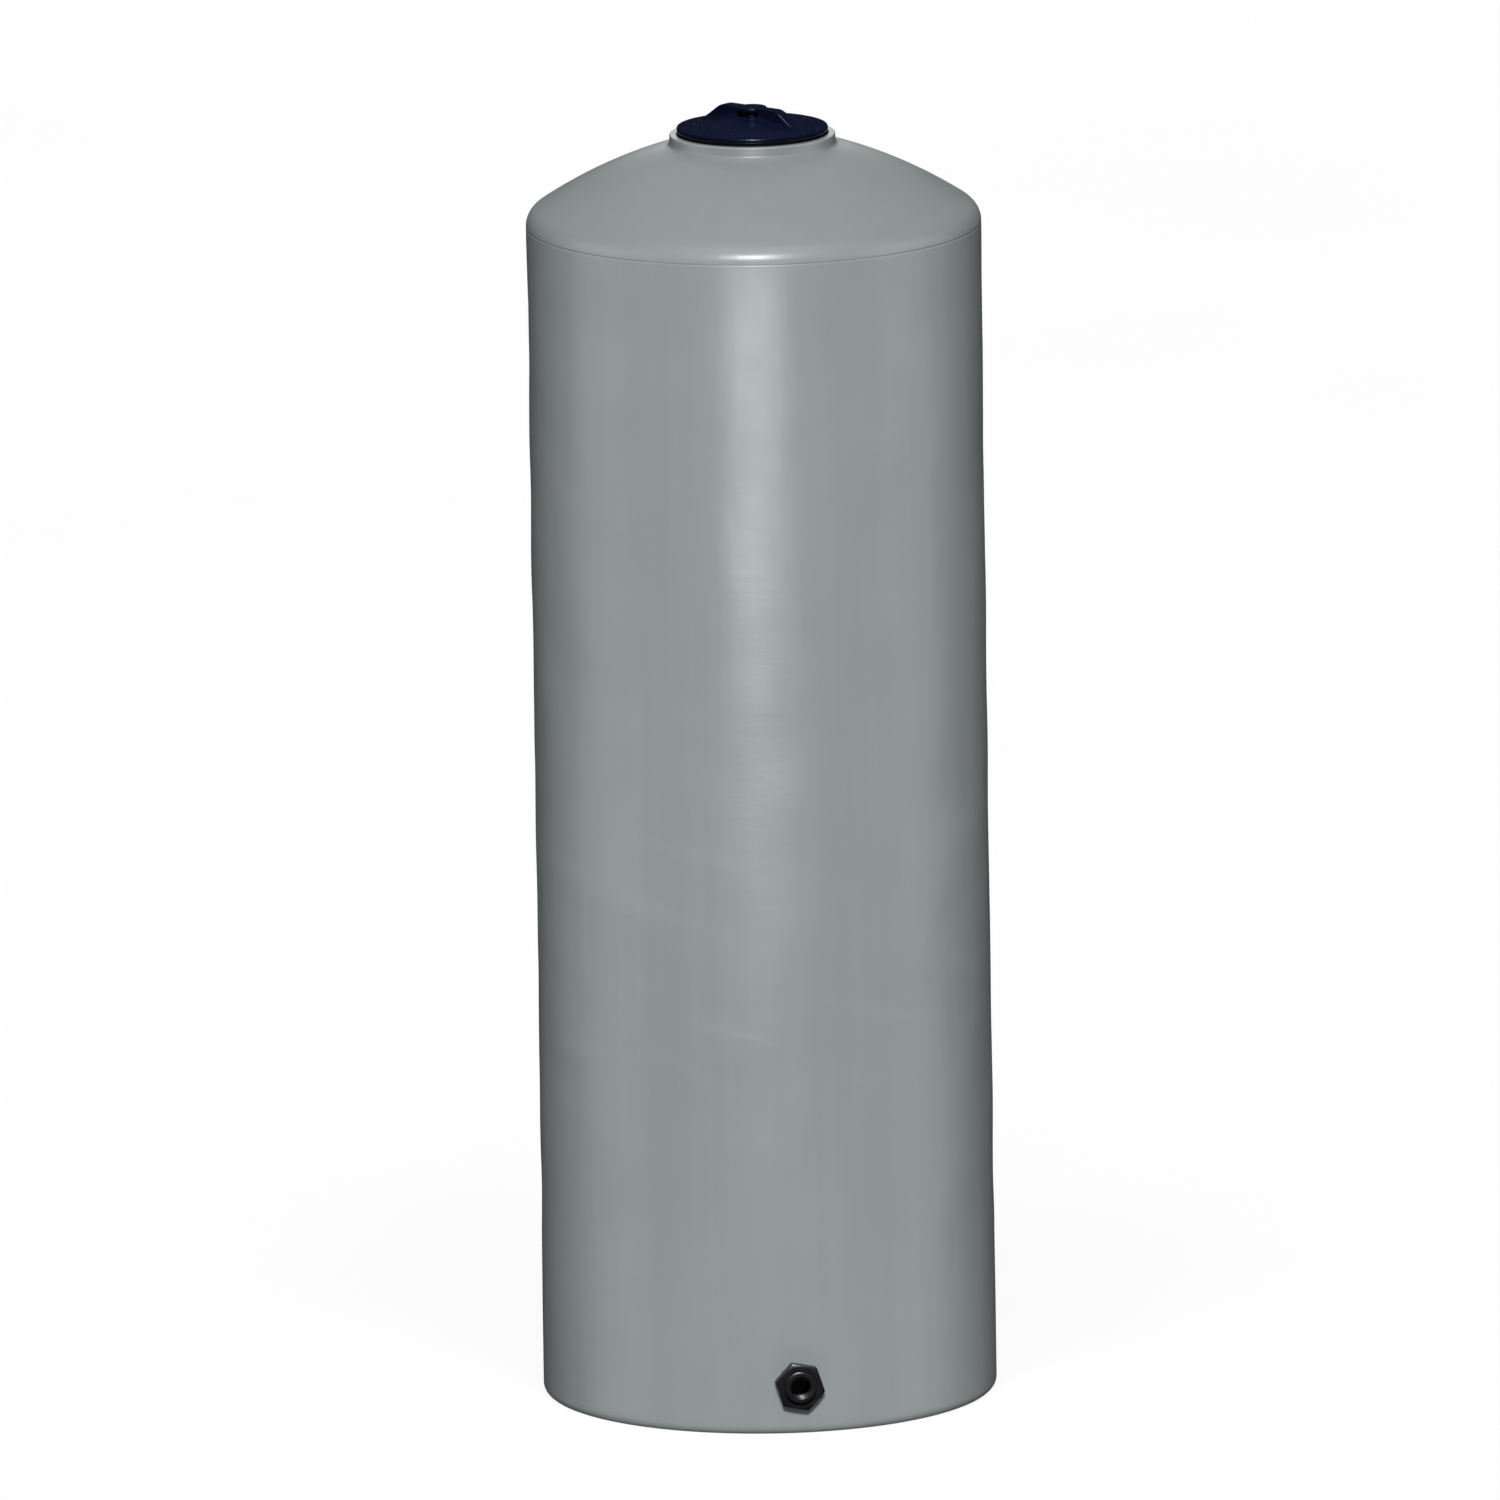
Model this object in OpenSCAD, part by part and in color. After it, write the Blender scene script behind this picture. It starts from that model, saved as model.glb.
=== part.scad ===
// Upright moulded water vessel with a screw lid, a vented lid cap and a threaded outlet.
// Millimetres. Origin at the centre of the base, +Z up, the outlet on the front, which is -Y.

/* [Vessel] */

// outer radius of the vessel wall
tank_r = 340; // [200:1:500]
// wall thickness of the moulding
wall_t = 6; // [4:0.5:12]
// height where the wall ends and the shoulder begins
seam_z = 1778; // [600:1:2400]
// rounding of the base edge
base_edge_r = 14; // [10:1:40]
// tight radius of the shoulder, tangent to the wall
shoulder_r = 33.4; // [15:0.1:80]
// angle from vertical of the line where shoulder and dome meet
shoulder_a = 33.7; // [20:0.1:60]
// large radius of the dome, tangent to the shoulder
dome_r = 729; // [400:1:1200]

/* [Neck] */

// outer radius of the collar moulded round the neck
collar_r = 124; // [90:1:160]
// height of the collar's flat top
collar_top_z = 1915; // [700:1:2600]
// fillet between the collar and the dome
collar_fillet_r = 8; // [3:0.5:14]
// rounding of the collar's top edge
collar_edge_r = 2.5; // [1:0.5:4]
// outer radius of the threaded ring set in the collar
insert_r = 114; // [80:1:150]
// inner radius of the threaded ring, between its threads
insert_bore_r = 101.5; // [70:0.5:140]
// height of the threaded ring
insert_h = 22; // [16:1:40]
// how far the ring's key reaches into the collar
insert_key_d = 4; // [2:0.5:6]
// height of the key
insert_key_h = 4; // [2:0.5:8]

/* [Neck thread] */

// rise of the thread in one turn
thread_pitch = 8; // [5:0.5:12]
// how many turns each thread runs
thread_turns = 1.75; // [1:0.25:3]
// width of a thread where it leaves its wall
thread_root_w = 3; // [2:0.1:5]
// width of a thread at its crest
thread_crest_w = 1.6; // [1:0.1:3]
// radius of the lid thread's crest
male_crest_r = 100.6; // [70:0.1:140]
// radius of the neck thread's crest
female_crest_r = 98.6; // [70:0.1:140]
// height of the lid thread's lower end at its middle
male_start_z = 1897; // [600:0.5:2600]

/* [Lid] */

// outer radius of the lid
lid_r = 113; // [80:1:150]
// gap between collar and lid that the gasket fills
gasket_h = 3; // [2:0.5:5]
// height of the lid's side band
lid_band_h = 8; // [5:0.5:14]
// rounding of the side band's edges
lid_band_edge_r = 2.4; // [1:0.1:4]
// height of the lid plate where it meets the hub
lid_crown_z = 1942; // [600:1:2600]
// thickness of the lid's plate
lid_plate_t = 4; // [3:0.5:8]
// outer radius of the threaded skirt
skirt_r = 97.6; // [60:0.1:140]
// thickness of the skirt
skirt_t = 4; // [2.5:0.5:8]
// height of the skirt's lower edge
skirt_foot_z = 1893; // [600:1:2600]
// inner radius of the gasket
gasket_in_r = 101.2; // [70:0.1:140]
// outer radius of the gasket
gasket_out_r = 110; // [80:0.5:150]

/* [Handle] */

// width of the handle bar
bar_w = 20; // [12:1:30]
// half length of the bar's flat top
bar_top_l = 53; // [30:1:80]
// half length of the bar at its feet
bar_foot_l = 88; // [50:1:105]
// height of the bar's flat top
bar_top_z = 1955; // [600:1:2600]
// wall thickness of the hollow bar
bar_wall_t = 3; // [2:0.5:6]
// direction of the bar seen from above
bar_a = -47; // [-90:1:90]

/* [Vent] */

// radius of the vent cap's head
vent_r = 22; // [15:0.5:35]
// thickness of the head
vent_head_h = 6; // [4:0.5:12]
// rounding of the head's edges
vent_edge_r = 1.8; // [0.5:0.1:3]
// running gap between the head and the lid round it
vent_gap = 0.8; // [0.4:0.1:2]
// radius of the lid's hub under the head
hub_r = 16; // [12:0.5:20]
// height of the slit that air passes through
vent_slit = 2; // [1:0.5:4]
// height of the hub's underside
hub_foot_z = 1934; // [600:1:2600]
// radius of the hub's hole
hub_hole_r = 8; // [5:0.5:12]
// radius of the vent cap's stem
vent_stem_r = 7.7; // [4:0.1:11.5]
// inner radius of the stem
vent_duct_r = 5.5; // [3:0.1:9]
// radius of each air hole through the stem
vent_port_r = 0.9; // [0.5:0.1:1.5]
// number of air holes through the stem
vent_ports = 8; // [4:1:12]
// outer radius of the clip under the hub
retainer_r = 13; // [9:0.5:18]
// height of the clip's underside
retainer_foot_z = 1926; // [600:0.5:2600]
// thickness of the insect screen
screen_t = 0.8; // [0.5:0.1:1.5]
// radius of each hole in the screen
screen_hole_r = 0.7; // [0.4:0.1:1]
// distance between the screen's holes
screen_step = 2.1; // [1.5:0.1:4]

/* [Outlet] */

// height of the outlet's centre
outlet_z = 76; // [50:1:200]
// radius of the outlet's threaded spigot
spigot_r = 23.9; // [15:0.1:40]
// radius of the hole through the vessel wall
wall_hole_r = 24; // [15:0.1:41]
// distance from the vessel's axis to the spigot's end
spigot_end = 364; // [200:1:600]
// radius of the wall that takes the pipe thread
pipe_r = 15.15; // [8:0.05:30]
// length of that wall
pipe_l = 20; // [10:0.5:30]
// radius of the passage behind the pipe thread
duct_r = 13; // [6:0.5:20]
// radius of the flange inside the vessel
flange_r = 37.5; // [25:0.5:60]
// thickness of the flange
flange_t = 5; // [3:0.5:10]
// radius of the rubber gasket inside the vessel
inner_gasket_r = 35; // [25:0.5:55]
// thickness of that gasket at the outlet's top and bottom
inner_gasket_t = 4; // [2:0.5:8]
// radius of the rubber washer outside the vessel
outer_washer_r = 32; // [25:0.5:50]
// thickness of that washer at the outlet's top and bottom
outer_washer_t = 2.5; // [1.5:0.5:6]
// radius of the slip washer under the nut
slip_washer_r = 31; // [25:0.5:50]
// thickness of the slip washer
slip_washer_t = 1.5; // [1:0.5:3]
// distance across the nut's flats
nut_flats = 66; // [50:1:100]
// thickness of the nut
nut_h = 16; // [8:1:30]
// how far the nut's corners are chamfered along its length
nut_chamfer_h = 3; // [1:0.5:6]
// turn of the nut, seen from the front
nut_turn = -12; // [-30:1:30]

/* [Hidden] */

$fn = 96;
e = 0.01;
far = 3000;

// the shoulder's and the dome's centres, as radius and height
sh_c = [tank_r - shoulder_r, seam_z];
sh_dir = [sin(shoulder_a), cos(shoulder_a)];
dome_c = sh_c - (dome_r - shoulder_r) * sh_dir;
sh_far = sh_c + 4 * shoulder_r * sh_dir;

// the collar's fillet touches the dome and the collar's side, and fil_foot lies 4 below the dome
fil_x = collar_r + collar_fillet_r;
fil_z = dome_c[1] + sqrt(pow(dome_r + collar_fillet_r, 2) - pow(fil_x - dome_c[0], 2));
fil_k = (dome_r - 4) / (dome_r + collar_fillet_r);
fil_foot = dome_c + fil_k * ([fil_x, fil_z] - dome_c);

insert_foot_z = collar_top_z - insert_h;
insert_key_z = collar_top_z - 0.6 * insert_h;

lid_foot_z = collar_top_z + gasket_h;
lid_band_z = lid_foot_z + lid_band_h;
lid_slope_r = lid_r - 3;
head_foot_z = bar_top_z - vent_head_h;
hub_top_z = head_foot_z - vent_slit;
pocket_r = vent_r + vent_gap;
slope_k = (lid_crown_z - lid_band_z) / (lid_slope_r - hub_r);

// the neck thread runs half a pitch below the lid thread and starts a quarter turn on
female_start_a = 90;
female_start_z = male_start_z - thread_pitch / 2 + thread_pitch * female_start_a / 360;
thread_steps = 36;
thread_fade = 3;
thread_bite = 1;

retainer_h = hub_foot_z - 0.3 - retainer_foot_z;
retainer_lip = 1.2;
screen_z = retainer_foot_z + retainer_lip;

inner_r = tank_r - wall_t;
flange_front = inner_r - inner_gasket_t;
pipe_mouth = 1.5;
nut_back = tank_r + outer_washer_t + slip_washer_t;

// the vessel's half section, t inside its outer surface
module half_section(t) {
    translate([0, base_edge_r])
        square([tank_r - t, seam_z - base_edge_r]);
    translate([0, t])
        square([tank_r - base_edge_r, base_edge_r - t]);
    intersection() {
        translate([tank_r - base_edge_r, base_edge_r])
            circle(r = base_edge_r - t);
        translate([tank_r - base_edge_r, 0])
            square([base_edge_r, base_edge_r]);
    }
    intersection() {
        translate(sh_c)
            circle(r = shoulder_r - t);
        polygon([sh_c, [tank_r + 50, seam_z], [tank_r + 50, sh_far[1]], sh_far]);
    }
    intersection() {
        translate(dome_c)
            circle(r = dome_r - t);
        polygon([[0, seam_z], sh_c, sh_far, [sh_far[0], far], [0, far]]);
    }
}

// the collar's half section, standing on the dome, with its fillet not yet hollowed
module collar_section() {
    edge_z = collar_top_z - collar_edge_r;
    translate([0, seam_z])
        square([collar_r, edge_z - seam_z]);
    translate([0, seam_z])
        square([collar_r - collar_edge_r, collar_top_z - seam_z]);
    translate([collar_r - collar_edge_r, edge_z])
        circle(r = collar_edge_r);
    polygon([[collar_r - 1, fil_foot[1] - 8], fil_foot, [fil_x, fil_z], [collar_r - 1, fil_z]]);
}

// a key that stands out of the threaded ring, with d added all round
module key_section(d) {
    translate([insert_r - 1, insert_key_z - d])
        square([insert_key_d + 1 + d, insert_key_h + 2 * d]);
}

// a cylinder along -Y at the outlet's height, from one distance from the vessel's axis to another
module outlet_rod(from, to, r) {
    translate([0, -from, outlet_z])
        rotate([90, 0, 0])
            cylinder(h = to - from, r = r);
}

// one ring of a thread's outline: two root points and two crest points
function thread_ring(a, z, root_r, crest_r) = [
    [root_r * cos(a), root_r * sin(a), z - thread_root_w / 2],
    [crest_r * cos(a), crest_r * sin(a), z - thread_crest_w / 2],
    [crest_r * cos(a), crest_r * sin(a), z + thread_crest_w / 2],
    [root_r * cos(a), root_r * sin(a), z + thread_root_w / 2]
];

// a helical thread that fades in and out at its ends; flip turns the faces for an outer thread
module thread(root_r, crest_r, start_a, start_z, flip) {
    n = round(thread_turns * thread_steps);
    fade = [for (i = [0:n]) min(1, i / thread_fade, (n - i) / thread_fade)];
    rings = [
        for (i = [0:n])
            thread_ring(
                start_a + i * 360 / thread_steps,
                start_z + i * thread_pitch / thread_steps,
                root_r,
                root_r + (crest_r - root_r) * (0.3 + 0.7 * fade[i])
            )
    ];
    points = [for (ring = rings) for (p = ring) p];
    sides = [
        for (i = [0:n - 1])
            for (k = [0:3])
                for (half = [0, 1])
                    half == 0
                        ? [4 * i + k, 4 * i + 4 + k, 4 * i + (k + 1) % 4]
                        : [4 * i + (k + 1) % 4, 4 * i + 4 + k, 4 * i + 4 + (k + 1) % 4]
    ];
    ends = [
        [0, 1, 2],
        [0, 2, 3],
        [4 * n + 2, 4 * n + 1, 4 * n],
        [4 * n + 3, 4 * n + 2, 4 * n]
    ];
    faces = concat(sides, ends);
    turned = flip ? [for (f = faces) [f[2], f[1], f[0]]] : faces;
    polyhedron(points = points, faces = turned);
}

module tank_shell() {
    color([0.42, 0.45, 0.46])
    difference() {
        rotate_extrude()
            difference() {
                union() {
                    half_section(0);
                    collar_section();
                }
                translate([fil_x, fil_z])
                    circle(r = collar_fillet_r);
                half_section(wall_t);
                translate([0, seam_z])
                    square([insert_r, far]);
                key_section(0);
            }
        outlet_rod(inner_r - 30, tank_r + 10, wall_hole_r);
    }
}

module neck_insert() {
    color([0.10, 0.11, 0.12]) {
        rotate_extrude()
            difference() {
                union() {
                    translate([insert_bore_r, insert_foot_z])
                        square([insert_r - insert_bore_r, insert_h]);
                    key_section(0);
                }
                polygon([
                    [insert_bore_r - 1, collar_top_z - 2],
                    [insert_bore_r, collar_top_z - 2],
                    [insert_bore_r + 2, collar_top_z],
                    [insert_bore_r + 2, collar_top_z + 1],
                    [insert_bore_r - 1, collar_top_z + 1]
                ]);
            }
        thread(insert_bore_r + thread_bite, female_crest_r, female_start_a, female_start_z, false);
    }
}

// the lid's plate, side band and skirt as one half section
module lid_section() {
    edge = lid_band_edge_r;
    difference() {
        union() {
            polygon([
                [0, lid_foot_z],
                [lid_r - edge, lid_foot_z],
                [lid_r - edge, lid_band_z],
                [lid_slope_r, lid_band_z],
                [hub_r, lid_crown_z],
                [0, lid_crown_z]
            ]);
            translate([lid_r - 2 * edge, lid_foot_z + edge])
                square([2 * edge, lid_band_h - 2 * edge]);
            for (z = [lid_foot_z + edge, lid_band_z - edge])
                translate([lid_r - edge, z])
                    circle(r = edge);
            translate([skirt_r - skirt_t, skirt_foot_z])
                square([skirt_t, lid_foot_z - skirt_foot_z + 1]);
        }
        polygon([
            [0, lid_foot_z - 1],
            [skirt_r - skirt_t, lid_foot_z - 1],
            [skirt_r - skirt_t, lid_band_z - lid_plate_t + slope_k * (lid_slope_r - skirt_r + skirt_t)],
            [hub_r, lid_crown_z - lid_plate_t],
            [0, lid_crown_z - lid_plate_t]
        ]);
    }
}

// the bar's side outline, d inside its outer faces
module bar_outline(d) {
    foot_z = lid_band_z;
    run = bar_foot_l - bar_top_l;
    rise = bar_top_z - (lid_band_z + slope_k * (lid_slope_r - bar_foot_l));
    extra = (bar_top_z - foot_z - rise) * run / rise;
    polygon([
        [-(bar_foot_l + extra) + 1.3 * d, foot_z],
        [-bar_top_l + 0.35 * d, bar_top_z - d],
        [bar_top_l - 0.35 * d, bar_top_z - d],
        [bar_foot_l + extra - 1.3 * d, foot_z]
    ]);
}

module bar_solid(d, w) {
    rotate([0, 0, bar_a])
        rotate([90, 0, 0])
            translate([0, 0, -w / 2])
                linear_extrude(height = w)
                    bar_outline(d);
}

module lid() {
    color([0.05, 0.06, 0.09]) {
        difference() {
            union() {
                rotate_extrude()
                    lid_section();
                bar_solid(0, bar_w);
                translate([0, 0, hub_foot_z])
                    cylinder(h = hub_top_z - hub_foot_z, r = hub_r);
            }
            difference() {
                bar_solid(bar_wall_t, bar_w - 2 * bar_wall_t);
                translate([0, 0, hub_foot_z - 50])
                    cylinder(h = 200, r = hub_r);
            }
            translate([0, 0, hub_top_z])
                cylinder(h = 50, r = pocket_r);
            translate([0, 0, hub_foot_z - 50])
                cylinder(h = 100, r = hub_hole_r);
            translate([0, 0, hub_foot_z - 50])
                cylinder(h = 50, r = hub_r);
        }
        thread(skirt_r - thread_bite, male_crest_r, 0, male_start_z, true);
    }
}

module lid_gasket() {
    color([0.02, 0.02, 0.02])
    translate([0, 0, collar_top_z])
        difference() {
            cylinder(h = gasket_h, r = gasket_out_r);
            translate([0, 0, -1])
                cylinder(h = gasket_h + 2, r = gasket_in_r);
        }
}

module vent_cap() {
    stem_foot_z = screen_z + screen_t;
    color([0.05, 0.06, 0.09])
    difference() {
        rotate_extrude()
            difference() {
                union() {
                    translate([0, head_foot_z])
                        square([vent_r - vent_edge_r, vent_head_h]);
                    translate([0, head_foot_z + vent_edge_r])
                        square([vent_r, vent_head_h - 2 * vent_edge_r]);
                    for (z = [head_foot_z + vent_edge_r, bar_top_z - vent_edge_r])
                        translate([vent_r - vent_edge_r, z])
                            circle(r = vent_edge_r);
                    translate([0, stem_foot_z])
                        square([vent_stem_r, head_foot_z - stem_foot_z + 1]);
                }
                square([vent_duct_r, head_foot_z + 1]);
                translate([vent_stem_r + 2, head_foot_z - 1])
                    square([vent_r - vent_stem_r - 5, 3]);
            }
        for (i = [0:vent_ports - 1])
            rotate([0, 0, i * 360 / vent_ports])
                translate([0, 0, head_foot_z - vent_slit / 2])
                    rotate([0, 90, 0])
                        cylinder(h = vent_stem_r + 1, r = vent_port_r);
    }
}

module vent_screen() {
    n = floor((vent_duct_r - screen_hole_r) / screen_step);
    color([0.55, 0.56, 0.57])
    translate([0, 0, screen_z])
        difference() {
            cylinder(h = screen_t, r = vent_stem_r);
            for (i = [-n:n])
                for (k = [-n:n])
                    if (norm([i, k]) * screen_step < vent_duct_r - screen_hole_r)
                        translate([i * screen_step, k * screen_step, -1])
                            cylinder(h = screen_t + 2, r = screen_hole_r);
        }
}

module vent_retainer() {
    color([0.05, 0.06, 0.09])
    translate([0, 0, retainer_foot_z])
        difference() {
            cylinder(h = retainer_h, r = retainer_r);
            translate([0, 0, -1])
                cylinder(h = retainer_h + 2, r = vent_duct_r);
            translate([0, 0, retainer_lip])
                cylinder(h = retainer_h, r = vent_stem_r);
        }
}

module outlet_body() {
    thread_back = spigot_end - pipe_mouth - pipe_l;
    color([0.04, 0.04, 0.05])
    translate([0, 0, outlet_z])
        rotate([90, 0, 0])
            rotate_extrude()
                difference() {
                    union() {
                        translate([0, flange_front - flange_t])
                            square([flange_r, flange_t]);
                        translate([0, flange_front - 1])
                            square([spigot_r, spigot_end - flange_front]);
                        translate([0, flange_front - 1])
                            square([spigot_r - 1, spigot_end - flange_front + 1]);
                    }
                    square([duct_r, far]);
                    translate([0, thread_back])
                        square([pipe_r, far]);
                    polygon([
                        [0, spigot_end - pipe_mouth],
                        [pipe_r, spigot_end - pipe_mouth],
                        [pipe_r + pipe_mouth, spigot_end],
                        [pipe_r + pipe_mouth, far],
                        [0, far]
                    ]);
                }
}

module outlet_nut() {
    corner_r = nut_flats / 2 / cos(30);
    flat_r = nut_flats / 2;
    color([0.04, 0.04, 0.05])
    translate([0, -nut_back, outlet_z])
        rotate([90, 0, 0])
            difference() {
                intersection() {
                    rotate([0, 0, nut_turn])
                        cylinder(h = nut_h, r = corner_r, $fn = 6);
                    rotate_extrude()
                        polygon([
                            [0, 0],
                            [corner_r + 1, 0],
                            [corner_r + 1, nut_h - nut_chamfer_h],
                            [flat_r - 1, nut_h],
                            [0, nut_h]
                        ]);
                }
                translate([0, 0, -1])
                    cylinder(h = nut_h + 2, r = wall_hole_r);
                translate([0, 0, nut_h - 2])
                    cylinder(h = 2 + e, r1 = wall_hole_r, r2 = wall_hole_r + 2);
            }
}

module outlet_inner_gasket() {
    color([0.02, 0.02, 0.02])
    difference() {
        intersection() {
            outlet_rod(flange_front, tank_r, inner_gasket_r);
            cylinder(h = 2 * outlet_z, r = inner_r, $fn = 720);
        }
        outlet_rod(flange_front - 1, tank_r + 1, wall_hole_r);
    }
}

module outlet_outer_washer() {
    color([0.02, 0.02, 0.02])
    difference() {
        outlet_rod(tank_r - 10, tank_r + outer_washer_t, outer_washer_r);
        translate([0, 0, -1])
            cylinder(h = 2 * outlet_z + 2, r = tank_r, $fn = 720);
        outlet_rod(tank_r - 11, tank_r + 10, wall_hole_r);
    }
}

module outlet_slip_washer() {
    color([0.04, 0.04, 0.05])
    difference() {
        outlet_rod(tank_r + outer_washer_t, nut_back, slip_washer_r);
        outlet_rod(tank_r, nut_back + 1, wall_hole_r);
    }
}

tank_shell();
neck_insert();
lid();
lid_gasket();
vent_cap();
vent_screen();
vent_retainer();
outlet_body();
outlet_nut();
outlet_inner_gasket();
outlet_outer_washer();
outlet_slip_washer();
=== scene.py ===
"""Upright grey water vessel with a black screw lid and a hex outlet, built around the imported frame."""
import math

import bpy
import bmesh
from mathutils import Matrix, Vector, noise


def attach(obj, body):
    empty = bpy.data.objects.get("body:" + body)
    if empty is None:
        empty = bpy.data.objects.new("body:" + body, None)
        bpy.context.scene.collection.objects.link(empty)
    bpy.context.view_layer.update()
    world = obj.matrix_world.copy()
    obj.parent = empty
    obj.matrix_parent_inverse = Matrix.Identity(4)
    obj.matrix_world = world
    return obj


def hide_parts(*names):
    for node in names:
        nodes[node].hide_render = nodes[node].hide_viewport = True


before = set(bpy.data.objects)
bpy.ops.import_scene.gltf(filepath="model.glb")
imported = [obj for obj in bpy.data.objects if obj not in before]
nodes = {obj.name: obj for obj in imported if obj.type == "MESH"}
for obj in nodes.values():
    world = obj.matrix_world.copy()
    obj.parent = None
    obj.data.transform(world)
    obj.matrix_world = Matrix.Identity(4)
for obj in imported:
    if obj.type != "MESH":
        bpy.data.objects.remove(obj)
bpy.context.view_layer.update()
scene = bpy.context.scene

MM = 0.001
TAU = 2 * math.pi

# Sizes in millimetres, the same as the part's own.
TANK_R, WALL_T, SEAM_Z = 340.0, 6.0, 1778.0
BASE_EDGE_R, SHOULDER_R, DOME_R = 14.0, 33.4, 729.0
SHOULDER_A = math.radians(33.7)
COLLAR_R, COLLAR_TOP_Z, COLLAR_FILLET_R, COLLAR_EDGE_R = 124.0, 1915.0, 5.0, 2.0
INSERT_R, INSERT_BORE_R, INSERT_H = 114.0, 101.5, 22.0
THREAD_PITCH, THREAD_TURNS = 8.0, 1.75
MALE_CREST_R, FEMALE_CREST_R, MALE_START_Z = 100.6, 98.6, 1897.0
LID_R, LID_FOOT_Z, LID_BAND_Z, LID_CROWN_Z = 113.0, 1918.0, 1926.0, 1942.0
LID_EDGE_R, SKIRT_R, SKIRT_T, SKIRT_FOOT_Z = 2.4, 97.6, 4.0, 1893.0
HUB_R, HUB_HOLE_R, HUB_TOP_Z, HUB_FOOT_Z = 16.0, 8.0, 1947.0, 1934.0
BAR_W, BAR_TOP_L, BAR_FOOT_L, BAR_TOP_Z = 20.0, 53.0, 88.0, 1955.0
BAR_A = math.radians(-47)
POCKET_R = 22.8
OUTLET_Z, SPIGOT_R, SPIGOT_END, FLANGE_BACK = 76.0, 23.9, 364.0, 325.0
FLANGE_R, FLANGE_T, PIPE_R, DUCT_R = 37.5, 5.0, 15.15, 13.0
NUT_BACK, NUT_H, NUT_FLATS, NUT_TURN = 344.0, 16.0, 66.0, math.radians(-12)
PIPE_PITCH = 2.309
WALL_HOLE_R = 24.0

# How far a moulded wall wanders, in millimetres, and the heights between which it does.
SWAY_FROM_Z, SWAY_TO_Z, SWAY_FADE_LOW, SWAY_FADE_HIGH = 140, 1760, 160, 100
SWAY_WIDE, SWAY_WIDE_SIZE, SWAY_FINE, SWAY_FINE_SIZE, SWAY_BIAS = 1.5, 125, 0.3, 52, 0.6
PARTING_GROOVE = ((-2.6, 0.0), (-1.6, 0.06), (-0.9, 0.34), (-0.4, 0.70), (0.0, 0.80),
                  (0.4, 0.70), (0.9, 0.34), (1.6, 0.06), (2.6, 0.0))

# The camera, in degrees and metres. Azimuth 0 is in front of the vessel.
FRONT, CAMERA_ELEVATION, CAMERA_ROLL = -7.2, 11.5, -0.83
CAMERA_DISTANCE, VIEW_WIDTH, VIEW_SIDE, VIEW_HEAD = 60.0, 2.252, -0.03054, 0.9555
SENSOR = 36.0

# Size and slant of the scuffs, and the heights in metres between which they fade in and out.
SCUFF_SIZE, SCUFF_SLANT = (0.34, 0.34, 0.060), (0, 0.30, 0)
SCUFF_IN, SCUFF_OUT = (0.40, 0.55), (0.80, 1.00)
# Heights in metres where the collar's side is darkened as painted shade and its top ring lightened as
# painted light.
COLLAR_PAINTED_SHADE, COLLAR_PAINTED_LIGHT = (1.8975, 1.9000), (1.9125, 1.9140)


# ---------------------------------------------------------------- mesh helpers

def arc(cx, cz, r, a0, a1, n):
    """n + 1 points of a circle's arc, angles in radians."""
    return [(cx + r * math.cos(a0 + (a1 - a0) * i / n), cz + r * math.sin(a0 + (a1 - a0) * i / n))
            for i in range(n + 1)]


def line(p, q, n):
    """n points after p on the way to q, q the last."""
    return [(p[0] + (q[0] - p[0]) * i / n, p[1] + (q[1] - p[1]) * i / n) for i in range(1, n + 1)]


def spin(profile, segments, radius=None):
    """A closed outline of (r, z) turned about Z. radius(r, z, angle) can shift each point."""
    verts, faces, rings = [], [], []
    for r, z in profile:
        first = len(verts)
        if r < 1e-6:
            verts.append((0.0, 0.0, z))
            rings.append([first])
            continue
        for i in range(segments):
            a = TAU * i / segments
            rr = radius(r, z, a) if radius else r
            verts.append((rr * math.cos(a), rr * math.sin(a), z))
        rings.append(list(range(first, first + segments)))
    for a, b in zip(rings, rings[1:] + rings[:1]):
        if len(a) == 1 and len(b) == 1:
            continue
        for i in range(segments):
            j = (i + 1) % segments
            if len(a) == 1:
                faces.append((a[0], b[j], b[i]))
            elif len(b) == 1:
                faces.append((a[i], a[j], b[0]))
            else:
                faces.append((a[i], a[j], b[j], b[i]))
    return verts, faces


def helix(root_r, crest_r, start_a, start_z, turns, pitch, steps, root_w=3.0, crest_w=1.6):
    """A closed helical ridge with rounded crests that fades in and out over its ends."""
    n = round(turns * steps)
    fade = steps / 12
    verts, faces = [], []
    side = [(0.0, -root_w / 2), (0.8, -crest_w / 2 - 0.12), (1.0, -crest_w / 2 + 0.3),
            (1.0, crest_w / 2 - 0.3), (0.8, crest_w / 2 + 0.12), (0.0, root_w / 2)]
    m = len(side)
    for i in range(n + 1):
        a = start_a + TAU * i / steps
        z = start_z + pitch * i / steps
        t = min(1.0, i / fade, (n - i) / fade)
        k = 0.3 + 0.7 * math.sin(t * math.pi / 2)
        for share, dz in side:
            r = root_r + (crest_r - root_r) * share * k
            verts.append((r * math.cos(a), r * math.sin(a), z + dz))
    for i in range(n):
        for k in range(m):
            l = (k + 1) % m
            faces.append((i * m + k, (i + 1) * m + k, (i + 1) * m + l, i * m + l))
    faces.append(tuple(range(m)))
    faces.append(tuple(n * m + k for k in reversed(range(m))))
    return verts, faces


def make(name, parts, sharp=32, matrix=None):
    """One object from several (vertices, faces) lists in millimetres."""
    verts, faces = [], []
    for v, f in parts:
        first = len(verts)
        verts += v
        faces += [tuple(first + i for i in face) for face in f]
    mesh = bpy.data.meshes.new(name)
    mesh.from_pydata([tuple(MM * c for c in v) for v in verts], [], faces)
    if matrix is not None:
        mesh.transform(matrix)
    tidy(mesh, sharp)
    obj = bpy.data.objects.new(name, mesh)
    scene.collection.objects.link(obj)
    return obj


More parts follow.
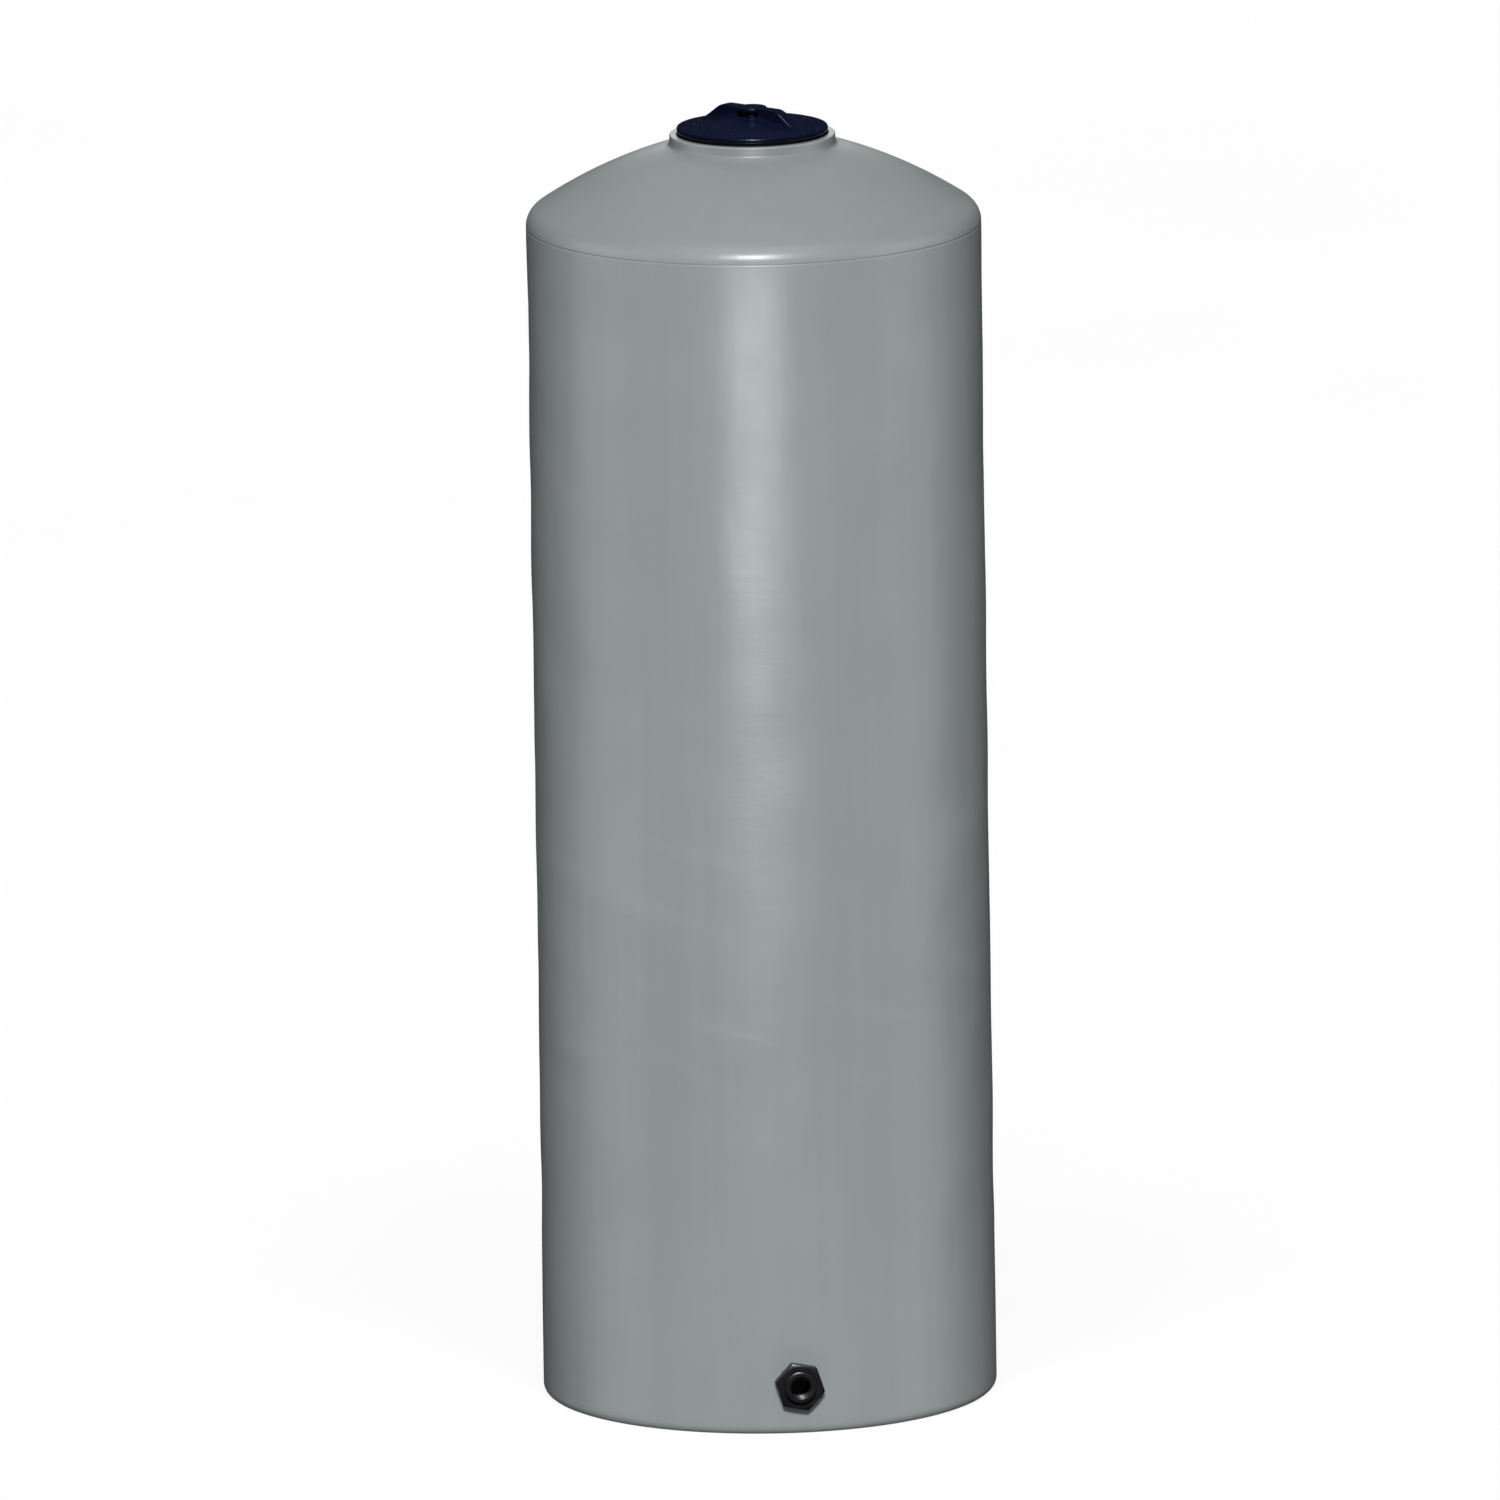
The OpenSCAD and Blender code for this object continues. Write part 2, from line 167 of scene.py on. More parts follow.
def tidy(mesh, sharp):
    """Outward normals, smooth shading, and sharp edges above an angle in degrees."""
    bm = bmesh.new()
    bm.from_mesh(mesh)
    bmesh.ops.remove_doubles(bm, verts=bm.verts, dist=1e-6)
    bmesh.ops.recalc_face_normals(bm, faces=bm.faces)
    bm.to_mesh(mesh)
    bm.free()
    mesh.validate()
    for p in mesh.polygons:
        p.use_smooth = True
    mesh.set_sharp_from_angle(angle=math.radians(sharp))
    mesh.update()


def cut(obj, cutter, sharp=32):
    """Takes a cutter's volume out of obj and removes the cutter."""
    mod = obj.modifiers.new("cut", "BOOLEAN")
    mod.operation, mod.solver, mod.object = "DIFFERENCE", "EXACT", cutter
    graph = bpy.context.evaluated_depsgraph_get()
    mesh = bpy.data.meshes.new_from_object(obj.evaluated_get(graph))
    obj.modifiers.clear()
    old = obj.data
    obj.data = mesh
    bpy.data.meshes.remove(old)
    bpy.data.objects.remove(cutter)
    tidy(mesh, sharp)


# -------------------------------------------------------------------- materials

class Nodes:
    """A short way to write a shader's node tree."""

    def __init__(self, name):
        self.material = bpy.data.materials.new(name)
        self.material.use_nodes = True
        self.tree = self.material.node_tree
        self.tree.nodes.clear()
        out = self.tree.nodes.new("ShaderNodeOutputMaterial")
        self.shader = self.tree.nodes.new("ShaderNodeBsdfPrincipled")
        self.tree.links.new(self.shader.outputs[0], out.inputs[0])
        coords = self.tree.nodes.new("ShaderNodeTexCoord")
        self.place = coords.outputs["Object"]

    def set(self, **values):
        for key, value in values.items():
            self.shader.inputs[key.replace("_", " ")].default_value = value
        return self

    def link(self, source, name):
        self.tree.links.new(source, self.shader.inputs[name])

    def put(self, kind, inputs, **props):
        """A node with these settings; an input is a value or another node's output."""
        n = self.tree.nodes.new("ShaderNode" + kind)
        for key, value in props.items():
            setattr(n, key, value)
        for key, value in inputs.items():
            if isinstance(value, bpy.types.NodeSocket):
                self.tree.links.new(value, n.inputs[key])
            else:
                n.inputs[key].default_value = value
        return n

    def stretch(self, scale, turn=(0, 0, 0), shift=(0, 0, 0)):
        return self.put("Mapping", {"Vector": self.place, "Scale": scale, "Rotation": turn,
                                    "Location": shift}).outputs[0]

    def noise(self, scale, detail=3.0, rough=0.5, vector=None, distort=0.0):
        return self.put("TexNoise", {"Vector": vector or self.place, "Scale": scale, "Detail": detail,
                                     "Roughness": rough, "Distortion": distort}).outputs["Fac"]

    def ramp(self, fac, stops):
        n = self.put("ValToRGB", {"Fac": fac})
        e = n.color_ramp.elements
        while len(e) < len(stops):
            e.new(0.5)
        for slot, (at, c) in zip(e, stops):
            slot.position = at
            slot.color = (c, c, c, 1) if isinstance(c, (int, float)) else (*c, 1)
        return n.outputs["Color"]

    def span(self, fac, lo, hi, to_lo, to_hi):
        return self.put("MapRange", {"Value": fac, "From Min": lo, "From Max": hi,
                                     "To Min": to_lo, "To Max": to_hi}).outputs[0]

    def math(self, op, a, b=0.0, clamp=False):
        return self.put("Math", {0: a, 1: b}, operation=op, use_clamp=clamp).outputs[0]

    def mix(self, fac, a, b, blend="MIX"):
        n = self.put("Mix", {}, data_type="RGBA", blend_type=blend)
        for key, value in ((0, fac), (6, a), (7, b)):
            if isinstance(value, bpy.types.NodeSocket):
                self.tree.links.new(value, n.inputs[key])
            else:
                n.inputs[key].default_value = value if key == 0 else (*value, 1)
        return n.outputs[2]

    def bump(self, height, strength, distance, normal=None):
        inputs = {"Height": height, "Strength": strength, "Distance": distance}
        if normal is not None:
            inputs["Normal"] = normal
        return self.put("Bump", inputs).outputs[0]


def shell_plastic():
    """Rotomoulded grey polyethylene: pigment mottling, vertical flow, orange peel and a few scuffs; painted
    shade on the collar's side, painted light on its top.
    """
    m = Nodes("shell_polyethylene")
    m.set(IOR=1.5, Specular_IOR_Level=0.5)
    cloud = m.noise(2.2, 4, 0.55)
    flow = m.noise(1.0, 3, 0.6, m.stretch((38, 38, 1.3)))
    fleck = m.noise(900, 2, 0.6)
    base = m.ramp(cloud, [(0.3, (0.236, 0.260, 0.261)), (0.7, (0.258, 0.280, 0.279))])
    base = m.mix(m.span(flow, 0.35, 0.7, 0.0, 0.32), base, (0.280, 0.303, 0.303))
    base = m.mix(m.span(fleck, 0.55, 0.8, 0.0, 0.30), base, (0.170, 0.186, 0.192))
    height = m.put("SeparateXYZ", {"Vector": m.place}).outputs["Z"]
    # Painted shade: from the collar's side upward the colour is darkened.
    side = m.span(height, *COLLAR_PAINTED_SHADE, 0.0, 0.32)
    base = m.mix(side, base, (0.128, 0.140, 0.141))
    # Painted light: the collar's top ring is lightened.
    base = m.mix(m.span(height, *COLLAR_PAINTED_LIGHT, 0.0, 0.75), base, (0.300, 0.322, 0.322))
    slanted = m.put("Mapping", {"Vector": m.place, "Scale": SCUFF_SIZE, "Rotation": SCUFF_SLANT},
                    vector_type="TEXTURE").outputs[0]
    low = m.math("MULTIPLY", m.span(height, *SCUFF_IN, 0, 1), m.span(height, *SCUFF_OUT, 1, 0))
    scuff = m.math("MULTIPLY", low, m.span(m.noise(1.0, 2, 0.5, slanted), 0.54, 0.74, 0, 1))
    base = m.mix(m.math("MULTIPLY", scuff, 0.22), base, (0.330, 0.352, 0.352))
    m.link(base, "Base Color")
    rough = m.span(m.noise(5, 5, 0.65), 0.3, 0.7, 0.29, 0.38)
    m.link(m.math("ADD", rough, m.math("MULTIPLY", scuff, 0.08)), "Roughness")
    peel = m.noise(230, 2, 0.5)
    grain = m.noise(1.0, 2, 0.5, m.stretch((420, 420, 90)))
    ripple = m.noise(1.0, 3, 0.55, m.stretch((14, 14, 70)))
    wave = m.noise(1.0, 2, 0.5, m.stretch((26, 26, 6)))
    normal = m.bump(wave, 0.35, 0.0014)
    normal = m.bump(ripple, 0.30, 0.0009, normal)
    normal = m.bump(peel, 0.22, 0.00035, normal)
    normal = m.bump(grain, 0.12, 0.00015, normal)
    m.link(normal, "Normal")
    return m.material


def lid_plastic():
    """Injection-moulded blue-black polypropylene, semi-gloss, with a fine texture and light wear."""
    m = Nodes("lid_polypropylene")
    m.set(IOR=1.5, Specular_IOR_Level=0.5)
    cloud = m.noise(14, 4, 0.55)
    base = m.ramp(cloud, [(0.3, (0.0030, 0.0060, 0.0220)), (0.75, (0.0045, 0.0085, 0.0320))])
    dust = m.noise(70, 6, 0.7)
    base = m.mix(m.span(dust, 0.58, 0.80, 0.0, 0.025), base, (0.06, 0.07, 0.10))
    m.link(base, "Base Color")
    m.link(m.span(m.noise(40, 4, 0.6), 0.3, 0.7, 0.20, 0.29), "Roughness")
    normal = m.bump(m.noise(520, 2, 0.5), 0.12, 0.0002)
    normal = m.bump(m.noise(30, 2, 0.5), 0.15, 0.0004, normal)
    m.link(normal, "Normal")
    return m.material


def fitting_plastic():
    """Black glass-filled nylon of the outlet: satin, with faint flow lines."""
    m = Nodes("fitting_black_nylon")
    m.set(IOR=1.5, Specular_IOR_Level=0.5)
    cloud = m.noise(45, 5, 0.6)
    base = m.ramp(cloud, [(0.3, (0.010, 0.0095, 0.0115)), (0.75, (0.020, 0.019, 0.022))])
    m.link(base, "Base Color")
    m.link(m.span(m.noise(120, 4, 0.6), 0.3, 0.7, 0.30, 0.44), "Roughness")
    normal = m.bump(m.noise(700, 3, 0.5), 0.25, 0.0002)
    m.link(normal, "Normal")
    return m.material


def ring_plastic():
    """Matte black moulding of the threaded neck ring and the vent clip."""
    m = Nodes("ring_black_moulding")
    m.set(IOR=1.5, Specular_IOR_Level=0.45)
    cloud = m.noise(35, 4, 0.6)
    m.link(m.ramp(cloud, [(0.3, (0.013, 0.013, 0.015)), (0.75, (0.024, 0.024, 0.026))]), "Base Color")
    m.link(m.span(m.noise(90, 4, 0.6), 0.3, 0.7, 0.45, 0.60), "Roughness")
    m.link(m.bump(m.noise(600, 3, 0.5), 0.25, 0.0002), "Normal")
    return m.material


def rubber():
    """Black EPDM rubber with a slight bloom."""
    m = Nodes("seal_epdm_rubber")
    m.set(IOR=1.52, Specular_IOR_Level=0.3)
    bloom = m.noise(60, 5, 0.65)
    m.link(m.ramp(bloom, [(0.35, (0.010, 0.010, 0.010)), (0.8, (0.030, 0.030, 0.031))]), "Base Color")
    m.link(m.span(m.noise(150, 4, 0.6), 0.3, 0.7, 0.68, 0.85), "Roughness")
    m.link(m.bump(m.noise(900, 3, 0.6), 0.3, 0.0002), "Normal")
    return m.material


def screen_metal():
    """Fine stainless insect screen."""
    m = Nodes("screen_stainless")
    m.set(Metallic=1.0)
    tone = m.noise(300, 4, 0.6)
    m.link(m.ramp(tone, [(0.3, (0.42, 0.43, 0.44)), (0.75, (0.60, 0.61, 0.62))]), "Base Color")
    m.link(m.span(m.noise(500, 4, 0.6), 0.3, 0.7, 0.28, 0.42), "Roughness")
    m.link(m.bump(m.noise(2500, 2, 0.5), 0.2, 0.0001), "Normal")
    return m.material


MATERIALS = {
    "shell_plastic": shell_plastic(),
    "lid_plastic": lid_plastic(),
    "black_moulding": ring_plastic(),
    "fitting_plastic": fitting_plastic(),
    "seal_rubber": rubber(),
    "screen_metal": screen_metal(),
}


def finish_piece(obj, body, slot, *replaced):
    """Gives a new piece the material of its slot, attaches it to its body and hides the CAD nodes that it
    stands for.
    """
    obj.data.materials.clear()
    obj.data.materials.append(MATERIALS[slot])
    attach(obj, body)
    if replaced:
        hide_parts(*replaced)
    return obj


# ------------------------------------------------------------------- the vessel

def dome_centre():
    k = DOME_R - SHOULDER_R
    return (TANK_R - SHOULDER_R - k * math.sin(SHOULDER_A), SEAM_Z - k * math.cos(SHOULDER_A))


def sway(r, z, a):
    """The slight unevenness of a moulded wall, never outside its true radius."""
    if r < 300 or z < SWAY_FROM_Z or z > SWAY_TO_Z:
        return r
    k = min(1.0, (z - SWAY_FROM_Z) / SWAY_FADE_LOW, (SWAY_TO_Z - z) / SWAY_FADE_HIGH)
    place = Vector((r * math.cos(a), r * math.sin(a), z))
    wide = SWAY_WIDE * (SWAY_BIAS + noise.noise(place / SWAY_WIDE_SIZE))
    fine = SWAY_FINE * (SWAY_BIAS + noise.noise(place / SWAY_FINE_SIZE))
    return r - k * (wide + fine)


def tank_shell():
    dcx, dcz = dome_centre()
    scx = TANK_R - SHOULDER_R
    top_a = math.pi / 2 - SHOULDER_A
    fx = COLLAR_R + COLLAR_FILLET_R
    fz = dcz + math.sqrt((DOME_R + COLLAR_FILLET_R) ** 2 - (fx - dcx) ** 2)
    foot_a = math.atan2(fz - dcz, fx - dcx)
    edge = COLLAR_EDGE_R
    out = [(0, 0)] + line((0, 0), (TANK_R - BASE_EDGE_R, 0), 5)
    out += arc(TANK_R - BASE_EDGE_R, BASE_EDGE_R, BASE_EDGE_R, -math.pi / 2, 0, 10)[1:]
    out += line((TANK_R, BASE_EDGE_R), (TANK_R, 40), 3)
    out += line((TANK_R, 40), (TANK_R, 112), 12)
    out += line((TANK_R, 112), (TANK_R, SEAM_Z - 6), 92)
    # the parting line is a shallow rounded groove
    for dz, depth in PARTING_GROOVE:
        r = TANK_R if dz < 0 else scx + math.sqrt(SHOULDER_R ** 2 - dz ** 2)
        out.append((r - depth, SEAM_Z + dz))
    out += arc(scx, SEAM_Z, SHOULDER_R, math.asin(4.5 / SHOULDER_R), top_a, 12)
    out += arc(dcx, dcz, DOME_R, top_a, foot_a, 34)[1:]
    out += arc(fx, fz, COLLAR_FILLET_R, foot_a - math.pi, -math.pi, 8)[1:]
    out += line((COLLAR_R, fz), (COLLAR_R, COLLAR_TOP_Z - edge), 2)
    out += arc(COLLAR_R - edge, COLLAR_TOP_Z - edge, edge, 0, math.pi / 2, 6)[1:]
    out += [(INSERT_R + 4, COLLAR_TOP_Z), (INSERT_R + 0.5, COLLAR_TOP_Z), (INSERT_R, COLLAR_TOP_Z - 0.5)]
    inner_dome = DOME_R - WALL_T
    neck_a = math.acos((INSERT_R - dcx) / inner_dome)
    out += arc(dcx, dcz, inner_dome, neck_a, top_a, 24)
    out += arc(scx, SEAM_Z, SHOULDER_R - WALL_T, top_a, 0, 8)[1:]
    out += line((TANK_R - WALL_T, SEAM_Z), (TANK_R - WALL_T, 120), 20)
    out += line((TANK_R - WALL_T, 120), (TANK_R - WALL_T, BASE_EDGE_R), 12)
    out += arc(TANK_R - BASE_EDGE_R, BASE_EDGE_R, BASE_EDGE_R - WALL_T, 0, -math.pi / 2, 6)[1:]
    out += line((TANK_R - BASE_EDGE_R, WALL_T), (0, WALL_T), 5)
    obj = make("tank_shell_moulding", [spin(out, 320, sway)])
    plug = [(0, 300), (WALL_HOLE_R, 300), (WALL_HOLE_R, 360), (0, 360)]
    hole = make("hole_cutter", [spin(plug, 96)], matrix=OUTWARD)
    cut(obj, hole)
    return finish_piece(obj, "tank", "shell_plastic", "tank_shell")


# turns a piece made about +Z so that it lies along -Y at the outlet's height
OUTWARD = Matrix.Translation((0, 0, OUTLET_Z * MM)) @ Matrix.Rotation(math.pi / 2, 4, "X")


def neck_ring():
    foot = COLLAR_TOP_Z - INSERT_H
    out = [(INSERT_BORE_R + 0.8, foot), (INSERT_R - 0.8, foot), (INSERT_R, foot + 0.8),
           (INSERT_R, COLLAR_TOP_Z - 0.6), (INSERT_R - 0.6, COLLAR_TOP_Z),
           (INSERT_BORE_R + 2.2, COLLAR_TOP_Z),
           (INSERT_BORE_R, COLLAR_TOP_Z - 2.2), (INSERT_BORE_R, foot + 0.8)]
    ridge = helix(INSERT_BORE_R + 1, FEMALE_CREST_R, TAU / 4, MALE_START_Z - THREAD_PITCH / 4,
                  THREAD_TURNS, THREAD_PITCH, 144)
    obj = make("neck_thread_ring", [spin(out, 192), ridge])
    return finish_piece(obj, "tank", "black_moulding", "neck_insert")


# ---------------------------------------------------------------------- the lid

SLOPE_K = (LID_CROWN_Z - LID_BAND_Z) / (LID_R - 3 - HUB_R)


def dish(r):
    """Height of the lid's conical top at a radius."""
    return LID_BAND_Z + SLOPE_K * (LID_R - 3 - r)


def soft_min(a, b, k):
    h = max(k - abs(a - b), 0) / k
    return min(a, b) - h * h * k / 4


def soft_max(a, b, k):
    return -soft_min(-a, -b, k)


def bar_top(x):
    """Height of the bar's top along its length, rounded at its shoulders and flared at its feet."""
    slope = (BAR_TOP_Z - dish(BAR_FOOT_L)) / (BAR_FOOT_L - BAR_TOP_L)
    z = soft_min(BAR_TOP_Z, BAR_TOP_Z - (x - BAR_TOP_L) * slope, 6)
    return soft_max(z, dish(x) - 0.05, 2.5)


def bar_half(sign):
    """One half of the handle bar, from the vent's pocket out to its foot, as a closed loft."""
    stations = [0, 0.5, 2, 5, 9, 14, 19, 24, 26.5, 29, 31.5, 34, 36.5, 39, 42, 46, 50, 54,
                57, 59, 61, 63, 65, 67, 69, 71, 73]
    verts, faces = [], []
    count = 0
    for index, s in enumerate(stations):
        x_mid = POCKET_R + s
        top = bar_top(x_mid) - (0.5 if index == 0 else 0.0)
        ground = dish(math.hypot(x_mid, BAR_W / 2))
        h = max(top - ground, 0.04)
        edge, flare = min(2.6, 0.45 * h), min(3.4, 0.5 * h)
        half = BAR_W / 2
        side = []
        for a in (0, 22.5, 45, 67.5, 90):
            t = math.radians(a)
            side.append((half + 0.6 + flare * (1 - math.sin(t)),
                         ground - 0.05 + flare * (1 - math.cos(t))))
        for a in (0, 18, 36, 54, 72, 90):
            t = math.radians(a)
            side.append((half - edge + edge * math.cos(t), top - edge + edge * math.sin(t)))
        side.append((half * 0.4, top))
        section = [(-y, z) for y, z in side] + [(y, z) for y, z in reversed(side)]
        low = [(side[0][0], ground - 1.2), (-side[0][0], ground - 1.2)]
        section += low
        count = len(section)
        for y, z in section:
            curve = math.sqrt(max(POCKET_R ** 2 - y * y, 0)) - POCKET_R
            x = x_mid + curve * max(0.0, 1 - s / 24) ** 2
            verts.append((sign * x, sign * y, z))
    for i in range(len(stations) - 1):
        for k in range(count):
            l = (k + 1) % count
            faces.append((i * count + k, (i + 1) * count + k, (i + 1) * count + l, i * count + l))
    faces.append(tuple(range(count)))
    faces.append(tuple((len(stations) - 1) * count + k for k in reversed(range(count))))
    c, s = math.cos(BAR_A), math.sin(BAR_A)
    return [(x * c - y * s, x * s + y * c, z) for x, y, z in verts], faces


def lid():
    e = LID_EDGE_R
    rim = LID_R - e
    skirt_in = SKIRT_R - SKIRT_T
    under = dish(skirt_in) - 4.0
    out = [(HUB_HOLE_R, HUB_FOOT_Z + 0.6), (HUB_HOLE_R + 0.6, HUB_FOOT_Z), (HUB_R - 0.6, HUB_FOOT_Z),
           (HUB_R, HUB_FOOT_Z + 0.6), (HUB_R, LID_CROWN_Z - 5.5)]
    out += line((HUB_R, LID_CROWN_Z - 5.5), (HUB_R + 1.5, dish(HUB_R + 1.5) - 4.0), 1)
    out += line((HUB_R + 1.5, dish(HUB_R + 1.5) - 4.0), (skirt_in - 2.0, dish(skirt_in - 2) - 4.0), 8)
    out += arc(skirt_in - 2.0, under - 2.0, 2.0, math.pi / 2, 0, 4)[1:]
    out += line((skirt_in, under - 2.0), (skirt_in, SKIRT_FOOT_Z + 1), 2)
    out += [(skirt_in + 1, SKIRT_FOOT_Z), (SKIRT_R - 1, SKIRT_FOOT_Z), (SKIRT_R, SKIRT_FOOT_Z + 1)]
    out += line((SKIRT_R, SKIRT_FOOT_Z + 1), (SKIRT_R, LID_FOOT_Z), 3)
    out += [(SKIRT_R + 6, LID_FOOT_Z), (rim, LID_FOOT_Z)]
    out += arc(rim, LID_FOOT_Z + e, e, -math.pi / 2, 0, 6)[1:]
    out += [(LID_R, LID_BAND_Z - e - 1.4), (LID_R, LID_BAND_Z - e)]
    out += arc(rim, LID_BAND_Z - e, e, 0, math.pi / 2, 8)[1:]
    out += [(rim - 1.2, LID_BAND_Z), (rim - 2.4, LID_BAND_Z - 0.12), (rim - 3.4, LID_BAND_Z - 0.10),
            (rim - 4.6, dish(rim - 4.6) - 0.30), (rim - 6.2, dish(rim - 6.2) - 0.05)]
    out += line((rim - 6.2, dish(rim - 6.2) - 0.05), (HUB_R + 2.4, dish(HUB_R + 2.4)), 30)
    hub = arc(HUB_R + 2.4, dish(HUB_R + 2.4) + 2.4, 2.4, -math.pi / 2, -math.pi, 6)[1:]
    out += hub + [(HUB_R, HUB_TOP_Z - 0.6), (HUB_R - 0.6, HUB_TOP_Z), (HUB_HOLE_R + 0.6, HUB_TOP_Z),
                  (HUB_HOLE_R, HUB_TOP_Z - 0.6)]
    ridge = helix(SKIRT_R - 1, MALE_CREST_R, 0.0, MALE_START_Z, THREAD_TURNS, THREAD_PITCH, 144)
    obj = make("lid_moulding", [spin(out, 240), ridge, bar_half(1), bar_half(-1)], sharp=38)
    return finish_piece(obj, "lid", "lid_plastic", "lid")


# ------------------------------------------------------------------- the outlet

def tooth(along, a, hand=1):
    """A V thread's height, 0 at its root and 1 at its crest, at a place along it and an angle."""
    t = (along / PIPE_PITCH - hand * a / TAU) % 1.0
    v = 1 - abs(2 * t - 1)
    return min(max((v - 0.12) / 0.76, 0.0), 1.0)


def spigot_radius(r, u, a):
    """Cuts the outer thread near the spigot's end and the pipe thread inside its mouth."""
    if abs(r - SPIGOT_R) < 0.01 and u > 341.0:
        fade = min(1.0, (u - 341.0) / 1.5)
        return r - 1.35 * (1 - tooth(u, a)) * fade
    if abs(r - PIPE_R) < 0.01 and 343.5 < u < 362.4:
        fade = min(1.0, (u - 343.5) / 2.0)
        return r + 1.5 * (1 - tooth(u, a)) * fade
    return r


def outlet_spigot():
    """The outlet's body: an inner flange, a threaded spigot and a threaded mouth."""
    end, back = SPIGOT_END, FLANGE_BACK
    out = [(DUCT_R, back + 0.8), (DUCT_R + 0.8, back), (FLANGE_R - 1.2, back), (FLANGE_R, back + 1.2),
           (FLANGE_R, back + FLANGE_T - 0.6), (FLANGE_R - 0.6, back + FLANGE_T),
           (SPIGOT_R, back + FLANGE_T)]
    out += line((SPIGOT_R, back + FLANGE_T), (SPIGOT_R, 341), 2)
    out += line((SPIGOT_R, 341), (SPIGOT_R, end - 1.3), 76)
    out += [(SPIGOT_R - 0.5, end - 0.8), (SPIGOT_R - 1.4, end - 0.2), (SPIGOT_R - 2.0, end)]
    out += [(SPIGOT_R - 4.2, end), (PIPE_R + 2.2, end), (PIPE_R + 1.5, end - 0.3)]
    out += line((PIPE_R + 1.5, end - 0.3), (PIPE_R, end - 1.6), 2)
    out += line((PIPE_R, end - 1.6), (PIPE_R, 343.0), 72)
    out += [(PIPE_R, 342.5), (DUCT_R + 0.4, 342.5), (DUCT_R, 342.1)]
    obj = make("outlet_spigot", [spin(out, 144, spigot_radius)], sharp=28, matrix=OUTWARD)
    return finish_piece(obj, "tank", "fitting_plastic", "outlet_body")


def hex_radius(a):
    """Distance from a hexagon's centre to its rounded side at an angle."""
    flat = NUT_FLATS / 2
    near = [flat / max(math.cos(a - k * TAU / 6 - TAU / 12 - NUT_TURN), 1e-3)
            for k in range(6) if math.cos(a - k * TAU / 6 - TAU / 12 - NUT_TURN) > 0.2]
    near.sort()
    return soft_min(near[0], near[1], 1.5)


def hex_nut():
    """The nut, as columns round its axis: flats, a chamfer that rounds its corners off, and a bored face."""
    columns = 360
    flat_r, bore = NUT_FLATS / 2 - 0.8, 24.15
    verts, faces = [], []
    for i in range(columns):
        a = TAU * i / columns
        rim = hex_radius(a)
        over = max(rim - flat_r, 0.0)
        drop = over * 0.50
        c, s = math.cos(a), math.sin(a)
        back = min(rim, NUT_FLATS / 2 + 3.2)
        top = NUT_H - drop
        ring = [(bore, 0.8), (bore + 0.8, 0.0), (back - 0.6, 0.0),
                (rim, max((rim - back) * 0.5, 0) + 0.6),
                (rim, top - 1.0), (rim - 0.12, top - 0.45), (rim - 0.5, top - 0.05),
                (flat_r - 0.4, NUT_H - 0.12), (flat_r - 1.6, NUT_H),
                (bore + 2.0, NUT_H), (bore + 0.7, NUT_H), (bore + 0.25, NUT_H - 0.2), (bore, NUT_H - 0.7)]
        verts += [(r * c, r * s, u) for r, u in ring]
    n = len(ring)
    for i in range(columns):
        j = (i + 1) % columns
        for k in range(n):
            l = (k + 1) % n
            faces.append((i * n + k, j * n + k, j * n + l, i * n + l))
    verts = [(x, y, z + NUT_BACK) for x, y, z in verts]
    obj = make("outlet_hex_nut", [(verts, faces)], sharp=26, matrix=OUTWARD)
    return finish_piece(obj, "tank", "fitting_plastic", "outlet_nut")


tank_shell()
neck_ring()
lid()
outlet_spigot()
hex_nut()

# the CAD nodes whose own shape is kept
KEPT = {
    "lid_gasket": "seal_rubber",
    "vent_cap": "lid_plastic",
    "vent_screen": "screen_metal",
    "vent_retainer": "black_moulding",
    "outlet_inner_gasket": "seal_rubber",
    "outlet_outer_washer": "seal_rubber",
    "outlet_slip_washer": "fitting_plastic",
}
for name, slot in KEPT.items():
    nodes[name].data.materials.clear()
    nodes[name].data.materials.append(MATERIALS[slot])


# --------------------------------------------------------- floor, light, camera

def floor():
    mesh = bpy.data.meshes.new("studio_floor")
    mesh.from_pydata([(-60, -60, 0), (60, -60, 0), (60, 60, 0), (-60, 60, 0)], [], [(0, 1, 2, 3)])
    obj = bpy.data.objects.new("studio_floor", mesh)
    scene.collection.objects.link(obj)
    m = Nodes("studio_floor_paint")
    m.set(Roughness=0.9, Specular_IOR_Level=0.1)
    shade = m.ramp(m.noise(0.8, 2), [(0.3, (0.805, 0.805, 0.805)), (0.7, (0.815, 0.815, 0.815))])
    m.link(shade, "Base Color")
    mesh.materials.append(m.material)
    obj.visible_diffuse = obj.visible_glossy = False
    return obj


def towards(azimuth, elevation):
    """Unit vector towards an azimuth and elevation in degrees, azimuth 0 in front of the vessel."""
    a, e = math.radians(azimuth), math.radians(elevation)
    return Vector((math.sin(a) * math.cos(e), -math.cos(a) * math.cos(e), math.sin(e)))


def lamp(data, at, facing, lit, glossy=True, diffuse=True, blockers=None):
    obj = bpy.data.objects.new(data.name, data)
    scene.collection.objects.link(obj)
    obj.location = at
    obj.rotation_mode = "QUATERNION"
    obj.rotation_quaternion = facing.to_track_quat("Z", "Y")
    obj.visible_camera = False
    obj.visible_glossy, obj.visible_diffuse = glossy, diffuse
    obj.light_linking.receiver_collection = lit
    if blockers:
        obj.light_linking.blocker_collection = blockers
    return obj


def far_softbox(name, azimuth, elevation, spread, power, lit, shadow=True, glossy=True, diffuse=True,
                blockers=None):
    """A large softbox far away, as even light from one direction."""
    data = bpy.data.lights.new(name, "SUN")
    data.energy, data.angle, data.use_shadow = power, math.radians(spread), shadow
    way = towards(azimuth, elevation)
    lamp(data, way * 8, way, lit, glossy, diffuse, blockers)


